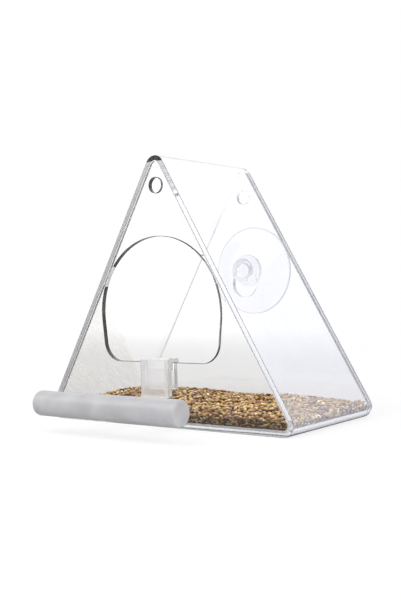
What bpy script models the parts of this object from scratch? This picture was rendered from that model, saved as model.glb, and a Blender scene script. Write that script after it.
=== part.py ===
"""Window bird feeder: a triangular house of clear bent sheet, with a clip-on perch and a suction cup.

+X runs along the width, the feeding opening faces -Y, and +Z is up. The origin is on the floor, in the
middle of the whole object's box. All sizes are in metres.
"""
import math
import random

import bmesh
import bpy
from mathutils import Matrix, Vector

# House: an equilateral triangular tube, bent from one sheet
SIDE_LENGTH = 0.192  # outer side of the triangle, between its sharp corners
HOUSE_DEPTH = 0.090
SHEET = 0.003  # thickness of the clear sheet
BEND_RADIUS = 0.007  # outside of each bend
SEAT_GAP = 0.0003  # left between pieces that are glued to, or sit on, each other

# Feeding opening in the front panel: a round arch on nearly upright sides, over a flat sill
OPENING_RADIUS = 0.0448
OPENING_CENTRE_Z = 0.0670
OPENING_LEAN = math.radians(6)  # how far the sides lean in towards the sill
OPENING_FILLET = 0.0122  # where a side meets the sill
SILL_Z = 0.0382
NOTCH_DEPTH = 0.004  # seat of the perch clip, cut down into the sill

# Hanging holes, one in each panel
HANG_HOLE_RADIUS = 0.0045
FRONT_HOLE_Z = 0.1418
REAR_HOLE_Z = 0.1388

# Perch clip: a hook over the sill, and the angle glued to its front
CLIP_WIDTH = 0.0186
CLIP_SHEET = 0.003
CLIP_RISE = 0.0021  # top of the clip above the sill
FRONT_LEG_LENGTH = 0.0218
REAR_LIP_LENGTH = 0.018
CLIP_EDGE_RADIUS = 0.0006
ARM_SHEET = 0.003
ARM_BEND_RADIUS = 0.0012  # inside of the arm's bend
ARM_INSERT = 0.0065  # how far the arm goes into the perch

# Perch
ROD_RADIUS = 0.00725
ROD_LENGTH = 0.105
ROD_REACH = 0.0456  # perch axis in front of the front panel
ROD_Z = 0.0167
ROD_END_RADIUS = 0.0014

# Suction cup: its axis is level, and its neck hangs in the keyhole's slot
CUP_RADIUS = 0.0288
CUP_Z = 0.0907
CUP_STAND_OFF = 0.0098  # rim plane behind the rear panel
CUP_HOLLOW = 0.0056  # depth of the hollow, from the rim plane
CUP_RIM_WIDTH = 0.0020  # flat ring that seals on the glass
CUP_RIM_THICKNESS = 0.0009
HUB_RADIUS = 0.0105
HUB_LENGTH = 0.0028
HUB_EDGE_RADIUS = 0.0008
NECK_RADIUS = 0.0040
HEAD_RADIUS = 0.0080
HEAD_LENGTH = 0.0048
HEAD_EDGE_RADIUS = 0.0012

# Keyhole in the rear panel
KEY_ENTRY_RADIUS = 0.0090
KEY_SLOT_RADIUS = 0.0045  # half the width of the slot above the entry
CUP_TRAVEL = 0.0084  # from the top of the slot down to the middle of the entry

# Seed on the floor: its depth at the four corners of the bed
SEED_REAR_LEFT = 0.0102
SEED_REAR_RIGHT = 0.0066
SEED_FRONT_LEFT = 0.0074
SEED_FRONT_RIGHT = 0.0052
SEED_RIPPLE = 0.0004
SEED_MOUND_HEIGHT = 0.0009  # the most that a small mound of grain stands over a hollow
SEED_MOUND_SPACING = 0.0087
SEED_GRAIN_RELIEF = 0.0013  # how far the grains at the surface stand above and below each other
SEED_DRAW = 7
SEED_SIDE_GAP = 0.0006

# How finely round shapes are cut
BEND_STEPS = 10
ARC_STEPS = 44
FILLET_STEPS = 8
HOLE_STEPS = 36
EDGE_STEPS = 4
TURN_STEPS = 64
DISH_STEPS = 9
SEED_COLUMNS = 54
SEED_ROWS = 27
SEED_WAVES_ACROSS = 5
SEED_WAVES_DEEP = 3
MOUND_TURN_SHARES = (0.03, 0.21, 0.36)  # of a full turn, for three trains of waves that cross
MOUND_SPACING_SHARES = (1.0, 1.17, 0.86)

# Worked out from the sizes above
ROOT_3 = math.sqrt(3)
QUARTER = math.pi / 2
SMOOTH_ANGLE = math.radians(30)
ACRYLIC_IOR = 1.49
HOUSE_HEIGHT = SIDE_LENGTH * ROOT_3 / 2
FRONT_REACH = ROD_REACH + ROD_RADIUS
REAR_REACH = HOUSE_DEPTH + CUP_STAND_OFF
FRONT_Y = (FRONT_REACH - REAR_REACH) / 2
REAR_Y = FRONT_Y + HOUSE_DEPTH
PANEL_INSET = SHEET + SEAT_GAP
NOTCH_Z = SILL_Z - NOTCH_DEPTH
CLIP_TOP_Z = SILL_Z + CLIP_RISE
MERGE_DISTANCE = 1e-6

COLLECTION_NAME = "window_bird_feeder"


def clear_scene():
    """Remove whatever objects the file holds."""
    for item in list(bpy.data.objects):
        bpy.data.objects.remove(item, do_unlink=True)


def new_collection(name):
    """A collection linked to the scene."""
    collection = bpy.data.collections.new(name)
    bpy.context.scene.collection.children.link(collection)
    return collection


def new_material(name, colour, roughness, transmission=0.0):
    """A Principled material of one colour."""
    material = bpy.data.materials.new(name)
    material.use_nodes = True
    shader = material.node_tree.nodes["Principled BSDF"]
    shader.inputs["Base Color"].default_value = (*colour, 1.0)
    shader.inputs["Roughness"].default_value = roughness
    shader.inputs["Metallic"].default_value = 0.0
    shader.inputs["Transmission Weight"].default_value = transmission
    shader.inputs["IOR"].default_value = ACRYLIC_IOR
    material.diffuse_color = (*colour, 1.0)
    return material


def new_empty(name, place, collection):
    """An empty that carries other objects."""
    empty = bpy.data.objects.new(name, None)
    empty.location = place
    collection.objects.link(empty)
    return empty


def attach(item, parent):
    """Parent an object to an empty and leave it where it is."""
    item.parent = parent
    item.matrix_parent_inverse = Matrix.Translation(-parent.location)


def arc_points(centre, radius, start, end, steps):
    """Points along an arc, both ends included."""
    points = []
    for step in range(steps + 1):
        angle = start + (end - start) * step / steps
        points.append((centre[0] + radius * math.cos(angle), centre[1] + radius * math.sin(angle)))
    return points


def circle_points(centre, radius):
    """Points round a full circle, without repeating the first."""
    return arc_points(centre, radius, 0, math.tau, HOLE_STEPS)[:-1]


def filleted_outline(corners, radii, steps):
    """A closed outline through the corners, each rounded by its own radius."""
    outline = []
    for index, corner in enumerate(corners):
        here = Vector(corner)
        before = (Vector(corners[index - 1]) - here).normalized()
        after = (Vector(corners[(index + 1) % len(corners)]) - here).normalized()
        radius = radii[index]
        if radius == 0:
            outline.append(corner)
            continue
        half_angle = before.angle(after) / 2
        centre = here + (before + after).normalized() * radius / math.sin(half_angle)
        reach = radius / math.tan(half_angle)
        first = here + before * reach - centre
        last = here + after * reach - centre
        start = math.atan2(first.y, first.x)
        sweep = (math.atan2(last.y, last.x) - start + math.pi) % math.tau - math.pi
        outline += arc_points(centre, radius, start, start + sweep, steps)
    return outline


def triangle_outline(inset):
    """The house's triangle, moved in from its outside by inset, as (x, z) points."""
    half_side = SIDE_LENGTH / 2 - ROOT_3 * inset
    corners = [(-half_side, inset), (half_side, inset), (0, HOUSE_HEIGHT - 2 * inset)]
    return filleted_outline(corners, [BEND_RADIUS - inset] * 3, BEND_STEPS)


def curve_to_mesh(curve_object):
    """Replace a filled curve object by a mesh object with its caps welded on."""
    bpy.context.view_layer.update()
    depsgraph = bpy.context.evaluated_depsgraph_get()
    mesh = bpy.data.meshes.new_from_object(curve_object.evaluated_get(depsgraph))
    shape = bmesh.new()
    shape.from_mesh(mesh)
    bmesh.ops.remove_doubles(shape, verts=shape.verts, dist=MERGE_DISTANCE)
    bmesh.ops.recalc_face_normals(shape, faces=shape.faces)
    shape.to_mesh(mesh)
    shape.free()
    name = curve_object.name
    collection = curve_object.users_collection[0]
    place = curve_object.matrix_world.copy()
    bpy.data.objects.remove(curve_object)
    item = bpy.data.objects.new(name, mesh)
    item.matrix_world = place
    collection.objects.link(item)
    return item


def extruded(name, outlines, thickness, place, turn, collection):
    """A flat outline, with any holes as further outlines, extruded to a plate or bar."""
    curve = bpy.data.curves.new(name + "_outline", "CURVE")
    curve.dimensions = "2D"
    curve.fill_mode = "BOTH"
    curve.extrude = thickness / 2
    for outline in outlines:
        spline = curve.splines.new("POLY")
        spline.points.add(len(outline) - 1)
        for point, (across, up) in zip(spline.points, outline):
            point.co = (across, up, 0, 1)
        spline.use_cyclic_u = True
    item = bpy.data.objects.new(name, curve)
    item.location = place
    item.rotation_euler = turn
    collection.objects.link(item)
    item = curve_to_mesh(item)
    shade_round(item)
    return item


def upright_plate(name, outlines, thickness, front, collection):
    """A plate drawn in (x, z), whose front face is at y = front."""
    place = (0, front + thickness / 2, 0)
    return extruded(name, outlines, thickness, place, (QUARTER, 0, 0), collection)


def side_profile_bar(name, outline, width, collection):
    """A bar drawn in (y, z) from the front panel's face, centred on x = 0."""
    return extruded(name, [outline], width, (0, FRONT_Y, 0), (QUARTER, 0, QUARTER), collection)


def turned(name, profile, steps, collection):
    """A turned solid about its own Z, from (radius, height) points that run from the top down."""
    mesh = bpy.data.meshes.new(name)
    points = [(radius, 0, height) for radius, height in profile]
    edges = [(index, index + 1) for index in range(len(points) - 1)]
    mesh.from_pydata(points, edges, [])
    item = bpy.data.objects.new(name, mesh)
    collection.objects.link(item)
    screw = item.modifiers.new("turn", "SCREW")
    screw.axis = "Z"
    screw.angle = math.tau
    screw.steps = steps
    screw.render_steps = steps
    screw.use_merge_vertices = True
    screw.merge_threshold = MERGE_DISTANCE
    screw.use_smooth_shade = True
    return item


def shade_round(item):
    """Smooth shading that keeps the real edges sharp."""
    item.data.shade_smooth()
    item.data.set_sharp_from_angle(angle=SMOOTH_ANGLE)


def finish(item, material, parent):
    """Give a piece its material and the empty that carries it."""
    item.data.materials.clear()
    item.data.materials.append(material)
    attach(item, parent)


def opening_outline():
    """The feeding opening: a round arch whose sides run down to a sill with the clip's notch in it."""
    centre = (0, OPENING_CENTRE_Z)
    arch = arc_points(centre, OPENING_RADIUS, -OPENING_LEAN, math.pi + OPENING_LEAN, ARC_STEPS)

    # A side leaves the arch as its tangent, and would meet the sill at corner_x
    drop = OPENING_CENTRE_Z - SILL_Z
    corner_x = (OPENING_RADIUS - drop * math.sin(OPENING_LEAN)) / math.cos(OPENING_LEAN)
    notch_half = CLIP_WIDTH / 2 + SEAT_GAP
    corners = [
        arch[-1],
        (-corner_x, SILL_Z),
        (-notch_half, SILL_Z),
        (-notch_half, NOTCH_Z),
        (notch_half, NOTCH_Z),
        (notch_half, SILL_Z),
        (corner_x, SILL_Z),
        arch[0],
    ]
    radii = [0, OPENING_FILLET, 0, 0, 0, 0, OPENING_FILLET, 0]
    return arch + filleted_outline(corners, radii, FILLET_STEPS)[1:-1]


def keyhole_outline():
    """A round entry with a narrower slot above it, whose top stops the cup's neck."""
    entry_z = CUP_Z - CUP_TRAVEL
    slot_end_z = CUP_Z + NECK_RADIUS + SEAT_GAP - KEY_SLOT_RADIUS
    corner = math.acos(KEY_SLOT_RADIUS / KEY_ENTRY_RADIUS)
    entry = arc_points((0, entry_z), KEY_ENTRY_RADIUS, math.pi - corner, math.tau + corner, HOLE_STEPS)
    slot_end = arc_points((0, slot_end_z), KEY_SLOT_RADIUS, 0, math.pi, HOLE_STEPS // 2)
    return entry + slot_end


def build_body_shell(collection):
    """The bent sheet: two roof slopes and the floor in one tube."""
    outlines = [triangle_outline(0), triangle_outline(SHEET)]
    return upright_plate("body_shell", outlines, HOUSE_DEPTH, FRONT_Y, collection)


def build_front_panel(collection):
    """The front triangle with the feeding opening and a hanging hole."""
    hole = circle_points((0, FRONT_HOLE_Z), HANG_HOLE_RADIUS)
    outlines = [triangle_outline(PANEL_INSET), opening_outline(), hole]
    return upright_plate("front_panel", outlines, SHEET, FRONT_Y, collection)


def build_rear_panel(collection):
    """The rear triangle with the keyhole and a hanging hole."""
    hole = circle_points((0, REAR_HOLE_Z), HANG_HOLE_RADIUS)
    outlines = [triangle_outline(PANEL_INSET), keyhole_outline(), hole]
    return upright_plate("rear_panel", outlines, SHEET, REAR_Y - SHEET, collection)


def build_perch_saddle(collection):
    """The hook over the sill: front leg, bridge in the notch, and rear lip."""
    leg_back = -SEAT_GAP
    leg_front = leg_back - CLIP_SHEET
    lip_front = SHEET + SEAT_GAP
    lip_back = lip_front + CLIP_SHEET
    leg_z = CLIP_TOP_Z - FRONT_LEG_LENGTH
    lip_z = CLIP_TOP_Z - REAR_LIP_LENGTH
    bridge_z = NOTCH_Z + SEAT_GAP
    corners = [
        (leg_front, leg_z),
        (leg_back, leg_z),
        (leg_back, bridge_z),
        (lip_front, bridge_z),
        (lip_front, lip_z),
        (lip_back, lip_z),
        (lip_back, CLIP_TOP_Z),
        (leg_front, CLIP_TOP_Z),
    ]
    radii = [0, 0, 0, 0, CLIP_EDGE_RADIUS, CLIP_EDGE_RADIUS, CLIP_EDGE_RADIUS, 0]
    outline = filleted_outline(corners, radii, EDGE_STEPS)
    return side_profile_bar("perch_saddle", outline, CLIP_WIDTH, collection)


def build_perch_arm(collection):
    """The angle on the clip's front: an upright leg, a bend, and a tongue forward into the perch."""
    leg_back = -(SEAT_GAP + CLIP_SHEET + SEAT_GAP)
    leg_front = leg_back - ARM_SHEET
    tongue_end = -(ROD_REACH + ARM_INSERT - ROD_RADIUS)
    tongue_low = ROD_Z - ARM_SHEET / 2
    tongue_high = tongue_low + ARM_SHEET
    corners = [
        (tongue_end, tongue_low),
        (leg_back, tongue_low),
        (leg_back, CLIP_TOP_Z),
        (leg_front, CLIP_TOP_Z),
        (leg_front, tongue_high),
        (tongue_end, tongue_high),
    ]
    radii = [0, ARM_BEND_RADIUS + ARM_SHEET, 0, CLIP_EDGE_RADIUS, ARM_BEND_RADIUS, 0]
    outline = filleted_outline(corners, radii, FILLET_STEPS)
    return side_profile_bar("perch_arm", outline, CLIP_WIDTH, collection)


def build_perch_rod(collection, cutters):
    """The round perch with softened ends, slotted at the back for the arm."""
    half = ROD_LENGTH / 2
    shoulder = ROD_RADIUS - ROD_END_RADIUS
    top = arc_points((shoulder, half - ROD_END_RADIUS), ROD_END_RADIUS, QUARTER, 0, EDGE_STEPS)
    bottom = arc_points((shoulder, ROD_END_RADIUS - half), ROD_END_RADIUS, 0, -QUARTER, EDGE_STEPS)
    rod = turned("perch_rod", [(0, half)] + top + bottom + [(0, -half)], TURN_STEPS, collection)
    rod.location = (0, FRONT_Y - ROD_REACH, ROD_Z)
    rod.rotation_euler = (0, QUARTER, 0)

    # The slot runs from behind the rod to just past the arm's end
    slot_depth = ARM_INSERT + SEAT_GAP
    slot_length = ROD_RADIUS + slot_depth
    slot_end = FRONT_Y - ROD_REACH + ROD_RADIUS - slot_depth
    bpy.ops.mesh.primitive_cube_add(size=1, location=(0, slot_end + slot_length / 2, ROD_Z))
    cutter = bpy.context.object
    cutter.name = "arm_slot_cutter"
    cutter.scale = (CLIP_WIDTH + 2 * SEAT_GAP, slot_length, ARM_SHEET + 2 * SEAT_GAP)
    cutter.hide_render = True
    cutter.display_type = "WIRE"
    for holder in list(cutter.users_collection):
        holder.objects.unlink(cutter)
    cutters.objects.link(cutter)
    cut = rod.modifiers.new("arm_slot", "BOOLEAN")
    cut.operation = "DIFFERENCE"
    cut.solver = "EXACT"
    cut.object = cutter
    return rod


def cup_profile():
    """Half section of the cup as (radius, height), with height 0 on the rear panel's outer face."""
    panel_front = SHEET + SEAT_GAP
    head_top = panel_front + HEAD_LENGTH
    head_side = panel_front + HEAD_EDGE_RADIUS
    dome_height = head_top - head_side
    profile = []

    # Domed mushroom head, then its rounded edge and flat underside
    for step in range(FILLET_STEPS + 1):
        angle = QUARTER * (1 - step / FILLET_STEPS)
        profile.append((HEAD_RADIUS * math.cos(angle), head_side + dome_height * math.sin(angle)))
    profile[0] = (0, head_top)
    edge_centre = (HEAD_RADIUS - HEAD_EDGE_RADIUS, head_side)
    profile += arc_points(edge_centre, HEAD_EDGE_RADIUS, 0, -QUARTER, EDGE_STEPS)[1:]
    profile.append((NECK_RADIUS, panel_front))

    # Neck through the panel, then the hub that bears on the panel's back
    profile.append((NECK_RADIUS, -SEAT_GAP))
    hub_centre = (HUB_RADIUS - HUB_EDGE_RADIUS, -SEAT_GAP - HUB_EDGE_RADIUS)
    profile += arc_points(hub_centre, HUB_EDGE_RADIUS, QUARTER, 0, EDGE_STEPS)

    # Front of the dish, which flares from the hub out to the rim
    dish_start = -SEAT_GAP - HUB_LENGTH
    dish_end = CUP_RIM_THICKNESS - CUP_STAND_OFF
    for step in range(DISH_STEPS + 1):
        share = step / DISH_STEPS
        radius = HUB_RADIUS + (CUP_RADIUS - HUB_RADIUS) * share
        height = dish_start + (dish_end - dish_start) * math.sin(QUARTER * share) ** 2
        profile.append((radius, height))

    # Sealing ring, then the hollow up to the axis
    profile.append((CUP_RADIUS, -CUP_STAND_OFF))
    hollow_radius = CUP_RADIUS - CUP_RIM_WIDTH
    for step in range(DISH_STEPS + 1):
        share = 1 - step / DISH_STEPS
        height = CUP_HOLLOW * math.cos(QUARTER * share) - CUP_STAND_OFF
        profile.append((hollow_radius * share, height))
    return profile


def build_suction_cup(collection):
    """The soft cup, turned about the level axis of its neck."""
    cup = turned("suction_cup", cup_profile(), TURN_STEPS, collection)
    cup.location = (0, REAR_Y, CUP_Z)
    cup.rotation_euler = (QUARTER, 0, 0)
    return cup


def seed_depth(across, deep):
    """Depth of the seed at shares across (left to right) and deep (front to rear)."""
    front = SEED_FRONT_LEFT + (SEED_FRONT_RIGHT - SEED_FRONT_LEFT) * across
    rear = SEED_REAR_LEFT + (SEED_REAR_RIGHT - SEED_REAR_LEFT) * across
    ripple = math.sin(SEED_WAVES_ACROSS * math.pi * across) * math.cos(SEED_WAVES_DEEP * math.pi * deep)
    return front + (rear - front) * deep + SEED_RIPPLE * ripple


def seed_mound(x, y):
    """Height of the small mounds of grain at a place, where three trains of waves cross."""
    trains = list(zip(MOUND_TURN_SHARES, MOUND_SPACING_SHARES))
    height = 0
    for turn_share, spacing_share in trains:
        angle = math.tau * turn_share
        along = x * math.cos(angle) + y * math.sin(angle)
        height += math.sin(math.tau * along / (SEED_MOUND_SPACING * spacing_share))
    return SEED_MOUND_HEIGHT / 2 * height / len(trains)


def build_seed_bed(collection):
    """The loose seed as one low heap between the walls, from a grid that is drawn down to the floor."""
    bpy.ops.mesh.primitive_grid_add(x_subdivisions=SEED_COLUMNS, y_subdivisions=SEED_ROWS, size=1)
    bed = bpy.context.object
    bed.name = "seed_bed"
    for holder in list(bed.users_collection):
        holder.objects.unlink(bed)
    collection.objects.link(bed)
    bed.location = (0, FRONT_Y + HOUSE_DEPTH / 2, 0)

    # The bend inside each lower corner sets how wide the bed is on the floor
    floor_z = SHEET + SEAT_GAP
    floor_half = SIDE_LENGTH / 2 - ROOT_3 * BEND_RADIUS
    widest_half = floor_half + (BEND_RADIUS - SHEET) * ROOT_3 / 2
    bed_length = HOUSE_DEPTH - 2 * (SHEET + SEED_SIDE_GAP)
    middle_share = 0.5
    draw = random.Random(SEED_DRAW)
    shape = bmesh.new()
    shape.from_mesh(bed.data)
    bottom = bmesh.ops.extrude_face_region(shape, geom=list(shape.faces))["geom"]
    lower = {item for item in bottom if isinstance(item, bmesh.types.BMVert)}
    for vertex in shape.verts:
        across = vertex.co.x + middle_share
        deep = vertex.co.y + middle_share
        level_z = floor_z + seed_depth(across, deep)
        top_half = (HOUSE_HEIGHT - 2 * SHEET - level_z) / ROOT_3 - 2 * SEED_SIDE_GAP
        vertex.co.y *= bed_length
        if vertex in lower:
            vertex.co.x *= 2 * floor_half
            vertex.co.z = floor_z
        else:
            vertex.co.x *= 2 * min(top_half, widest_half)
            grain_z = SEED_GRAIN_RELIEF * draw.uniform(-middle_share, middle_share)
            vertex.co.z = level_z + seed_mound(vertex.co.x, vertex.co.y) + grain_z
    bmesh.ops.recalc_face_normals(shape, faces=shape.faces)
    shape.to_mesh(bed.data)
    shape.free()
    shade_round(bed)
    return bed


def build():
    """Build every piece and hang it on the empty that carries it."""
    clear_scene()
    parts = new_collection(COLLECTION_NAME)
    cutters = new_collection("cutters")
    clear_sheet = new_material("clear_acrylic", (0.93, 0.95, 0.96), 0.05, 0.9)
    clip_sheet = new_material("clip_acrylic", (0.90, 0.92, 0.92), 0.08, 0.8)
    frosted = new_material("frosted_acrylic", (0.82, 0.82, 0.84), 0.45)
    soft_clear = new_material("clear_soft_plastic", (0.88, 0.90, 0.93), 0.2, 0.8)
    seed = new_material("mixed_seed", (0.36, 0.25, 0.14), 0.7)

    house = new_empty("house_origin", (0, 0, 0), parts)
    perch = new_empty("perch_origin", (0, FRONT_Y, NOTCH_Z), parts)
    cup = new_empty("cup_origin", (0, REAR_Y, CUP_Z), parts)
    attach(perch, house)
    attach(cup, house)

    finish(build_body_shell(parts), clear_sheet, house)
    finish(build_front_panel(parts), clear_sheet.copy(), house)
    finish(build_rear_panel(parts), clear_sheet.copy(), house)
    finish(build_seed_bed(parts), seed, house)
    finish(build_perch_saddle(parts), clip_sheet, perch)
    finish(build_perch_arm(parts), clip_sheet.copy(), perch)
    finish(build_perch_rod(parts, cutters), frosted, perch)
    finish(build_suction_cup(parts), soft_clear, cup)


build()
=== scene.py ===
"""Looks of the window bird feeder: clear sheet, frosted perch, soft suction cup and loose seed.

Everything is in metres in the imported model's frame. +X is the width, the feeding opening faces -Y,
and +Z is up.
"""

import math

import bmesh
import bpy
import numpy as np
from mathutils import Matrix, Vector
from mathutils.bvhtree import BVHTree


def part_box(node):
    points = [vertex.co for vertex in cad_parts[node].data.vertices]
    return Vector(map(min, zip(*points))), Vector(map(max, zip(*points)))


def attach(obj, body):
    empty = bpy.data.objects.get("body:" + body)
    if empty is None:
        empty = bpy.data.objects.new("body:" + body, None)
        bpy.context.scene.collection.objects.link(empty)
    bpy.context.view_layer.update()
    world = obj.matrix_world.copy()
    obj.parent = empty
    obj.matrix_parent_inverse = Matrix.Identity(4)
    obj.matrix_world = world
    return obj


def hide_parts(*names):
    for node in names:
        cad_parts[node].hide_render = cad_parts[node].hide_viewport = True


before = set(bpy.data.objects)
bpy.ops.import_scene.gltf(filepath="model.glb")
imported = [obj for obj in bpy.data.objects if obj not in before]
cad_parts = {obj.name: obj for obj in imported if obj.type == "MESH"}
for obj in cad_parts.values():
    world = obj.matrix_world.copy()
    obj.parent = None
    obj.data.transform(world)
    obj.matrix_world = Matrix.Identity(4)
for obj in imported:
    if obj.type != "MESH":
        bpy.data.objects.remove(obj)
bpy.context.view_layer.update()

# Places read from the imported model
SHELL_LOW, SHELL_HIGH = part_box("body_shell")
FRONT_LOW, FRONT_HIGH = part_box("front_panel")
REAR_LOW, REAR_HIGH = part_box("rear_panel")
CLIP_LOW, CLIP_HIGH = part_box("perch_saddle")
ARM_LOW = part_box("perch_arm")[0]
ROD_LOW, ROD_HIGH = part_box("perch_rod")
CUP_LOW, CUP_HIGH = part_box("suction_cup")
SEED_LOW, SEED_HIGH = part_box("seed_bed")

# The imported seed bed, ready for rays to be cast at it
SEED_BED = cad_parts["seed_bed"].data
SEED_SOLID = BVHTree.FromPolygons(
    [vertex.co for vertex in SEED_BED.vertices],
    [tuple(polygon.vertices) for polygon in SEED_BED.polygons],
)

# Sizes of the sheet work
SHEET = FRONT_HIGH[1] - FRONT_LOW[1]
BEND_RADIUS = 0.007
SEAT_GAP = 0.0003
EDGE_ROUND = 0.0003  # softening of every cut edge
FRONT_Y = SHELL_LOW[1]
REAR_Y = SHELL_HIGH[1]
MIDDLE_Y = (FRONT_Y + REAR_Y) / 2
INNER_FRONT_Y = FRONT_Y + SHEET  # inner faces of the two panels
INNER_REAR_Y = REAR_Y - SHEET
ROOT_3 = math.sqrt(3)
HOUSE_HEIGHT = SHELL_HIGH[2] + BEND_RADIUS  # to the sharp corner above the ridge's bend
SIDE_LENGTH = HOUSE_HEIGHT * 2 / ROOT_3
BEND_X = SIDE_LENGTH / 2 - ROOT_3 * BEND_RADIUS  # centre of each lower bend
QUARTER = math.pi / 2

# Openings in the two panels
OPENING_RADIUS = 0.0448
OPENING_CENTRE_Z = 0.0670
OPENING_LEAN = math.radians(6)
OPENING_FILLET = 0.0122
SILL_Z = 0.0382
NOTCH_DEPTH = 0.004
NOTCH_Z = SILL_Z - NOTCH_DEPTH
HANG_HOLE_RADIUS = 0.0045
FRONT_HOLE_Z = 0.1418
REAR_HOLE_Z = 0.1388
KEY_ENTRY_RADIUS = 0.0090
KEY_SLOT_RADIUS = 0.0045
CUP_TRAVEL = 0.0084

# Perch clip and the angle on its front
CLIP_WIDTH = CLIP_HIGH[0] - CLIP_LOW[0]
CLIP_TOP_Z = CLIP_HIGH[2]
CLIP_SHEET = 0.003
CLIP_EDGE_RADIUS = 0.0006
REAR_LIP_LENGTH = 0.018
ARM_SHEET = 0.003
ARM_BEND_RADIUS = 0.0012

# Perch
ROD_RADIUS = (ROD_HIGH[2] - ROD_LOW[2]) / 2
ROD_LENGTH = ROD_HIGH[0] - ROD_LOW[0]
ROD_Y = (ROD_LOW[1] + ROD_HIGH[1]) / 2
ROD_Z = (ROD_LOW[2] + ROD_HIGH[2]) / 2
ROD_END_RADIUS = 0.0014

# Suction cup
CUP_RADIUS = (CUP_HIGH[0] - CUP_LOW[0]) / 2
CUP_Z = (CUP_LOW[2] + CUP_HIGH[2]) / 2
CUP_STAND_OFF = CUP_HIGH[1] - REAR_Y
CUP_HOLLOW = 0.0056
CUP_RIM_WIDTH = 0.0020
CUP_RIM_THICKNESS = 0.0009
HUB_RADIUS = 0.0105
HUB_LENGTH = 0.0028
HUB_EDGE_RADIUS = 0.0008
NECK_RADIUS = 0.0040
HEAD_RADIUS = 0.0080
HEAD_LENGTH = 0.0048
HEAD_EDGE_RADIUS = 0.0012

# Loose seed: grains over a dark slab of painted shade
SEED_LENGTH = 0.0038
SEED_WIDTH = 0.0020
SEED_HEIGHT = 0.0017
SEED_WALL_GAP = 0.00015
SEED_FLOOR_Z = SEED_LOW[2]
SEED_UNEVEN = 0.00015
SEED_DRAW = 7
SEED_JITTER_SHARE = 0.45  # how far a grain strays from its grid place, as a share of the spacing
SEED_SIZES = (SEED_LENGTH, SEED_WIDTH, SEED_HEIGHT)
SEED_SIZE_SPREADS = ((0.82, 1.14), (0.85, 1.12), (0.85, 1.15))  # least and most share of each size
SEED_PLUMPNESS = 0.7  # below 1 is blunter than a sine
GRAIN_SIDES = 5
FINE_RINGS = 3
PLAIN_RINGS = 2
PUSH_ROUNDS = 3  # passes that move grains back inside the walls

# Spacing of the grains on top, below them, on the floor and along the walls
TOP_SPACING = 0.0026
UNDER_SPACING = 0.0024
UNDER_DROP = 0.0011
FLOOR_SPACING = 0.0023
WALL_SPACING = 0.0022
WALL_ROWS = 4

# How far grains tip and turn, in radians
TOP_TIP = 0.32
FLOOR_TIP = 0.1
WALL_TIP = 0.9
WALL_TURN = 0.25

# A dark slab of painted shade that shows between the grains
CORE_DROP = 0.0017
CORE_INSET = 0.0016
CORE_COLUMNS = 54
CORE_ROWS = 27

# Tints of the grains, each with how many shares of the mix it has
SEED_TINTS = [
    ((0.62, 0.45, 0.19), 4),
    ((0.48, 0.30, 0.10), 6),
    ((0.34, 0.17, 0.05), 5),
    ((0.50, 0.29, 0.19), 4),
    ((0.15, 0.07, 0.03), 3),
    ((0.76, 0.60, 0.37), 2),
]
SEED_TINT_SPREAD = (0.75, 1.2)

# Painted shade of the tints by layer: top grains lighter, low grains and those on the panels darker for
# the light they miss, and those on the roof slopes paler and bluer, a painted veil of the hazy light seen
# through the roof
TOP_PAINTED_LIGHT = 1.35
UNDER_PAINTED_SHADE = 0.30
BOTTOM_PAINTED_SHADE = 0.9
WALL_PAINTED_SHADE = 0.85
SLOPE_PAINTED_VEIL = np.array((1.35, 1.65, 2.5))

# Painted shade of each grain: dark on its underside and light on its top, as if lit from above
GRAIN_UNDERSIDE_PAINTED_SHADE = 0.05
GRAIN_TOP_PAINTED_LIGHT = 1.55

# How strongly the plastics bend light
ACRYLIC_IOR = 1.49
VINYL_IOR = 1.5

# Dust on the bent sheet: each step holds where it starts and ends, and the clear share before and after
HAZE_TINT = (0.87, 0.88, 0.97, 1)
HAZE_NOISE_STEP = (0.3, 0.7, 0.86, 0.78)
HAZE_HEIGHT_STEP = (0.012, 0.024, 0.96, 1)

# Clouding of the frosted perch: levels of its noise, each with a colour
FROST_SHADES = ((0.35, (0.52, 0.52, 0.54, 1)), (0.65, (0.60, 0.60, 0.62, 1)))

# Clear shares of the clip and of its angle, for their faces and their sawn sides
CLIP_CLEAR_SHARES = (0.92, 0.5)
ANGLE_CLEAR_SHARES = (0.56, 0.30)

# Least share of a face's normal along an axis, for it to count as flat, an end, a side or rounded
FLAT_FACE_SHARE = 0.999
END_FACE_SHARE = 0.98
SIDE_FACE_SHARE = 0.9
ROUND_FACE_SHARE = 0.3

# Fineness of round stretches
BEND_STEPS = 28
ARC_STEPS = 120
FILLET_STEPS = 16
HOLE_STEPS = 64
EDGE_STEPS = 6
TURN_STEPS = 128
DISH_STEPS = 24
EDGE_ROUND_STEPS = 2
MERGE_DISTANCE = 1e-6
SMOOTH_ANGLE = math.radians(32)

# The photograph's camera
CAMERA_X = 0.3493
CAMERA_REACH = 0.41447  # in front of the front panel
CAMERA_Z = 0.08111
CAMERA_PLACE = (CAMERA_X, FRONT_Y - CAMERA_REACH, CAMERA_Z)
CAMERA_AZIMUTH = math.radians(37.483)
CAMERA_DROP = math.radians(0.793)
CAMERA_ROLL = math.radians(-1.552)
CAMERA_LENS = 55.39
CAMERA_NEAR = 0.01
SENSOR_SIZE = 36

# Studio
FLOOR_RADIUS = 3.0
FLOOR_SIDES = 96
FLOOR_DROP = 0.0002
LAMP_AIM = (0, 0, 0.05)
PATH_BOUNCES = 32

# Place, width, height and power of each lamp
LAMPS = {
    "key_light": ((-0.5, -0.7, 1.0), 1.4, 1.0, 9),
    "side_light": ((0.9, -0.3, 0.6), 0.5, 0.5, 4),
}

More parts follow.
